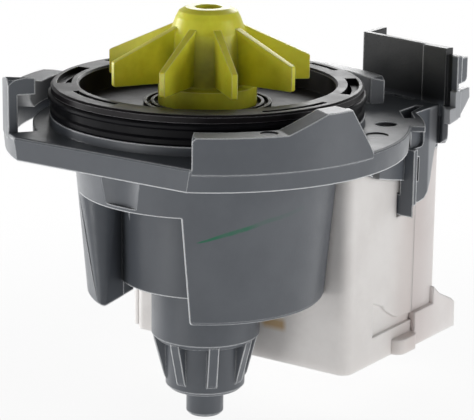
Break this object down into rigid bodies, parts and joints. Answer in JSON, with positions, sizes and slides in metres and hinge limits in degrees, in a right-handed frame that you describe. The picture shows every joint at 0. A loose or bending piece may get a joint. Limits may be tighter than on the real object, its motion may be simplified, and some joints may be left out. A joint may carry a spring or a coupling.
{
  "type": "appliance drain pump",
  "caption": "Drain pump with a bladed impeller over a sealed round cover, a bayonet flange with latch claws, a ribbed nose and a boxed motor.",
  "frame": {"origin": "on the pump axis at the top face of the mounting flange", "axes": "+Z along the pump axis towards the impeller, +Y from the axis towards the motor block, +X towards the straight bracket side seen in the picture"},
  "size_m": [0.0782, 0.0863, 0.0817],
  "materials": {
    "housing": "satin moulded",
    "plate": "satin moulded",
    "seal": "smooth",
    "oring": "smooth",
    "bearing": "ground",
    "bearing_mount": "matte",
    "washer": "ground",
    "shaft": "ground",
    "magnet": "matte sintered",
    "carrier": "moulded",
    "dog": "moulded",
    "clip": "stamped",
    "impeller": "satin moulded",
    "impeller_cover": "moulded",
    "core": "stacked sheets",
    "bobbin": "moulded",
    "winding": "lacquered wire",
    "casing": "satin moulded",
    "casing_rear": "satin moulded",
    "terminal": "tinned"
  },
  "bodies": {
    "housing": {"pump_housing": "housing", "bearing_plate": "plate", "sump_seal": "seal", "plate_oring": "oring", "front_bearing": "bearing", "front_bearing_mount": "bearing_mount", "rear_bearing": "bearing", "rear_bearing_mount": "bearing_mount", "stator_core": "core", "coil_bobbin_left": "bobbin", "coil_bobbin_right": "bobbin", "coil_winding_left": "winding", "coil_winding_right": "winding", "motor_casing": "casing", "casing_cover": "casing_rear", "spade_terminal_left": "terminal", "spade_terminal_right": "terminal"},
    "rotor": {"rotor_shaft": "shaft", "rotor_magnet": "magnet", "rotor_carrier": "carrier", "drive_dog": "dog", "retaining_clip": "clip", "front_thrust_washer": "washer", "rear_thrust_washer": "washer"},
    "impeller": {"impeller": "impeller", "coupling_cover": "impeller_cover"}
  },
  "joints": [
    {"name": "rotor_spin", "type": "hinge", "parent": "housing", "child": "rotor", "pos_m": [0, 0, 0], "axis": [0, 0, 1], "continuous": true},
    {"name": "impeller_lost_motion", "type": "hinge", "parent": "rotor", "child": "impeller", "pos_m": [0, 0, 0.01], "axis": [0, 0, 1], "range_deg": [0, 164]}
  ]
}
